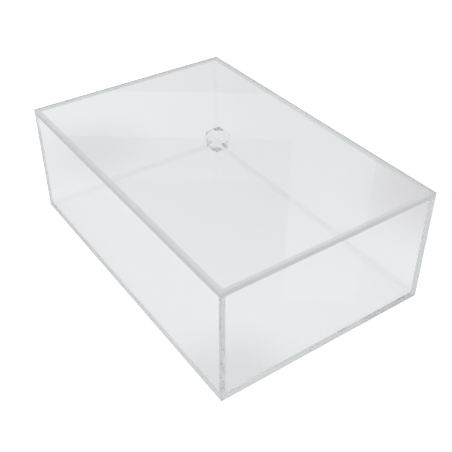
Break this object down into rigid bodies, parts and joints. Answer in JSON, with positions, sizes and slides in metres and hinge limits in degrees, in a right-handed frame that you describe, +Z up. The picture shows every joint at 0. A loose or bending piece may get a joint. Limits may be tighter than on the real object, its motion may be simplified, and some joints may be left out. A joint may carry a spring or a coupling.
{
  "type": "acrylic storage box with lid",
  "caption": "Rectangular clear box of flat bonded acrylic sheets, open at the top, with a loose flat lid that is lifted off by a small faceted clear knob.",
  "frame": {"origin": "middle of the underside of the floor panel, on the surface that the box stands on", "axes": "+X along the long side towards the right end, +Y from the front wall to the back wall, +Z up"},
  "size_m": [0.3, 0.2, 0.123],
  "materials": {
    "acrylic_sheet": "clear colourless cast acrylic sheet, glossy faces, polished edges",
    "acrylic_knob": "clear colourless moulded acrylic, polished facets"
  },
  "bodies": {
    "box": {"floor_panel": "acrylic_sheet", "front_wall": "acrylic_sheet", "back_wall": "acrylic_sheet", "left_wall": "acrylic_sheet", "right_wall": "acrylic_sheet"},
    "lid": {"lid_plate": "acrylic_sheet", "lid_knob": "acrylic_knob"}
  },
  "joints": [
    {"name": "lid_lift", "type": "slide", "parent": "box", "child": "lid", "axis": [0, 0, 1], "range_m": [0, 0.12]}
  ]
}
